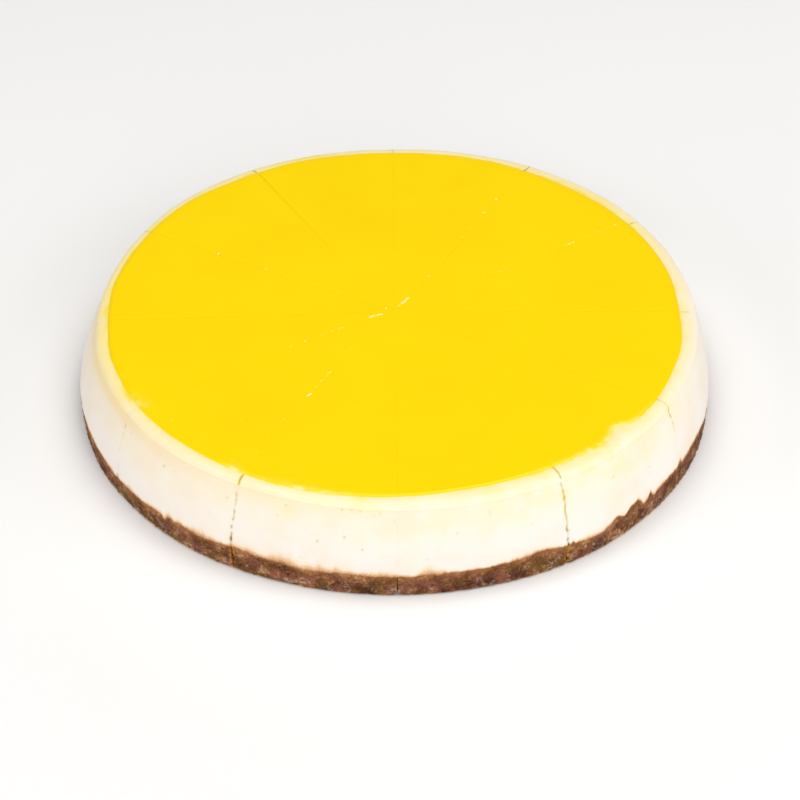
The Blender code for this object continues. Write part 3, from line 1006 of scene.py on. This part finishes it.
# One low mound with an uneven outline; `place` turns (along, across) into a point on the glaze
def addFleck(work, place, length, width, high, pale, chance):
    sides, rings, sunk, edgePale = (flecks[name] for name in ("sides", "rings", "sunk", "edgePale"))
    three, five = flecks["lobes"]
    paleness = work.verts.layers.float.get("pale") or work.verts.layers.float.new("pale")
    turn = chance.uniform(0, math.tau)
    rows = []
    for ring in range(rings):
        lift = math.pi / 2 * ring / rings
        row = []
        for side in range(sides):
            around = math.tau * side / sides
            reach = 1 + three * math.sin(around * 3 + turn) + five * math.sin(around * 5)
            reach *= math.cos(lift)
            spot = place(math.cos(around) * reach * length / 2, math.sin(around) * reach * width)
            spot.z = cake["height"] - sunk + math.sin(lift) * (high + sunk)
            row.append(work.verts.new(spot * mm))
            row[-1][paleness] = pale * (edgePale + (1 - edgePale) * ring / (rings - 1))
        rows.append(row)
    peak = place(0.0, 0.0)
    peak.z = cake["height"] + high
    top = work.verts.new(peak * mm)
    top[paleness] = pale
    for lower, upper in zip(rows, rows[1:]):
        for side in range(sides):
            after = (side + 1) % sides
            work.faces.new((lower[side], lower[after], upper[after], upper[side]))
    for side in range(sides):
        work.faces.new((rows[-1][side], rows[-1][(side + 1) % sides], top))
    work.faces.new(rows[0][::-1])


def makeFlecks(material):
    chance = random.Random(flecks["seed"])
    work = bmesh.new()
    crossing = Vector((*knife["crossing"], 0))
    for cut, start, end, count, length, width in flecks["cutFlecks"]:
        for number in range(count):
            middle = start + (end - start) * (number + 0.5) / count
            tilt = chance.uniform(-flecks["tilt"], flecks["tilt"])
            beside = chance.uniform(-1, 1) * flecks["scatter"]

            def place(along, across):
                radius = middle + along - across * tilt
                side = across + along * tilt + beside + bowAt(cut, radius)
                side += wobbleAt(cut, radius, cake["height"])
                angle = cutAngle(cut)
                fade = 1 - smooth(0, knife["crossingReach"], radius)
                return direction(angle) * radius + direction(angle + math.pi / 2) * side + crossing * fade

            size = chance.uniform(*flecks["sizes"])
            clear, wider = flecks["paleFrom"]
            pale = clamp((width * size - clear) / wider, *flecks["pales"])
            high = chance.uniform(*flecks["height"])
            addFleck(work, place, length * size, width * size * flecks["fullness"], high, pale, chance)
    for kind, pale in (("looseFlecks", flecks["loosePale"]), ("edgeSmearsAndHighlights", flecks["edgeStreakPale"])):
        for heading, radius, length, width in flecks[kind]:

            def place(along, across):
                angle = math.radians(heading) + along / radius
                bend = flecks["edgeStreakBend"] * length * (along / length) ** 2
                return direction(angle) * (radius + across + bend)

            high = chance.uniform(*flecks["height"]) * flecks["looseHeight"]
            wide = width * flecks["fullness"]
            paler = pale * chance.uniform(*flecks["edgeStreakPales"])
            addFleck(work, place, length, wide, high, paler, chance)
    data = bpy.data.meshes.new("flecksAndEdgeHighlights")
    work.to_mesh(data)
    work.free()
    addPiece(data, material)


# Cream streaked with jelly, smeared thin by the blade: pale yellow and wet. It also colours the highlight
# streaks painted along the glaze's edge
def creamStreakedJellyAndHighlights():
    material, tree, shader = newMaterial("creamStreakedJellyAndHighlights")
    place = addNode(tree, "TexCoord").outputs["Object"]
    # Streaks of 1 mm
    streak = addNode(tree, "TexNoise", {"Scale": 1000.0, "Detail": 2.0}, {"Vector": place})
    pale = addNode(tree, "Attribute", {"attribute_name": "pale"})
    amount = addNode(tree, "Math", {"operation": "MULTIPLY_ADD", "use_clamp": True, 1: 0.25},
                     {0: streak.outputs["Fac"], 2: pale.outputs["Fac"]})
    stops = [(0.2, tone(glaze["jelly"])), (0.6, tone(glaze["thinEdge"])), (1.0, tone(flecks["colour"]))]
    colour = addNode(tree, "ValToRGB", {"stops": stops}, {"Fac": amount.outputs[0]})
    tree.links.new(colour.outputs["Color"], shader.inputs["Base Color"])
    rough = addNode(tree, "MapRange", {"To Min": 0.3, "To Max": 0.5},
                    {"Value": streak.outputs["Fac"]})
    tree.links.new(rough.outputs[0], shader.inputs["Roughness"])
    shader.inputs["IOR"].default_value = 1.36
    shader.inputs["Specular IOR Level"].default_value = 0.2
    return material


# The studio: pale floor, soft light and the camera
studio = {
    "floorSize": 6.0,  # metres, as are the distances below
    "floorColour": "#F7F6F4",
    "world": 0.15,
    "worldColour": "#FFFFFF",
    "lamps": (  # name, place, size, watts
        ("overheadSoftbox", (0.15, -0.30, 2.2), 2.4, 38.5),
        ("frontSoftbox", (0.35, -1.9, 1.1), 1.2, 13.4),
        ("rightSoftbox", (1.6, -0.5, 0.9), 1.0, 8.0),
        ("leftFill", (-1.6, -0.7, 0.8), 1.0, 8.2),
        ("backFill", (0.1, 2.3, 0.4), 0.8, 7.0),
    ),
    "unmirrored": ("frontSoftbox", "backFill"),  # low lamps, kept out of the gloss as a polariser would
    "aim": (0.0, 0.0, 0.02),
    "cameraAim": (0.00205, -0.0039, 0.0),
    "cameraDistance": 1.5,
    "cameraElevation": 37.59,
    "lens": 164.8,  # with a 36 mm sensor
    "sensor": 36.0,
}


def lookAt(item, target):
    item.rotation_euler = (Vector(target) - item.location).to_track_quat("-Z", "Y").to_euler()


def makeStudio():
    scene = bpy.context.scene
    half = studio["floorSize"] / 2
    data = bpy.data.meshes.new("floor")
    corners = [(-half, -half, 0), (half, -half, 0), (half, half, 0), (-half, half, 0)]
    data.from_pydata(corners, [], [(0, 1, 2, 3)])
    floor = bpy.data.objects.new("floor", data)
    scene.collection.objects.link(floor)
    material, tree, shader = newMaterial("mattPaintedFloor")
    shader.inputs["Base Color"].default_value = tone(studio["floorColour"])
    shader.inputs["Roughness"].default_value = 0.9
    data.materials.append(material)

    world = bpy.data.worlds.new("studioLight")
    world.use_nodes = True
    background = world.node_tree.nodes["Background"]
    background.inputs["Color"].default_value = tone(studio["worldColour"])
    background.inputs["Strength"].default_value = studio["world"]
    scene.world = world
    for name, place, size, power in studio["lamps"]:
        lamp = bpy.data.lights.new(name, "AREA")
        lamp.shape, lamp.size, lamp.energy = "SQUARE", size, power
        item = bpy.data.objects.new(name, lamp)
        item.location = place
        item.visible_glossy = name not in studio["unmirrored"]
        scene.collection.objects.link(item)
        lookAt(item, studio["aim"])

    lens = bpy.data.cameras.new("photoView")
    lens.lens, lens.sensor_width = studio["lens"], studio["sensor"]
    camera = bpy.data.objects.new("photoView", lens)
    rise = math.radians(studio["cameraElevation"])
    back = Vector((0, -math.cos(rise), math.sin(rise))) * studio["cameraDistance"]
    camera.location = Vector(studio["cameraAim"]) + back
    scene.collection.objects.link(camera)
    lookAt(camera, studio["cameraAim"])
    scene.camera = camera
    scene.view_settings.view_transform = "Standard"


makeStudio()
print("studio and camera set")
crumbMaterial, creamMaterial, jellyMaterial = pressedBiscuitCrumb(), bakedCreamCheese(), setLemonJelly()
pits = placeHollows(crust["pits"], crust["smallPits"])
for number in range(cake["slices"]):
    makeCrust(number, crumbMaterial, pits)
print("crust slices made")
pores = placeHollows(cream["pores"], cream["smallPores"])
for number in range(cake["slices"]):
    makeCream(number, creamMaterial, pores)
print("cream slices made")
for number in range(cake["slices"]):
    makeGlaze(number, jellyMaterial)
print("glaze slices made")
makeFlecks(creamStreakedJellyAndHighlights())
print("knife flecks made")

bpy.context.view_layer.update()
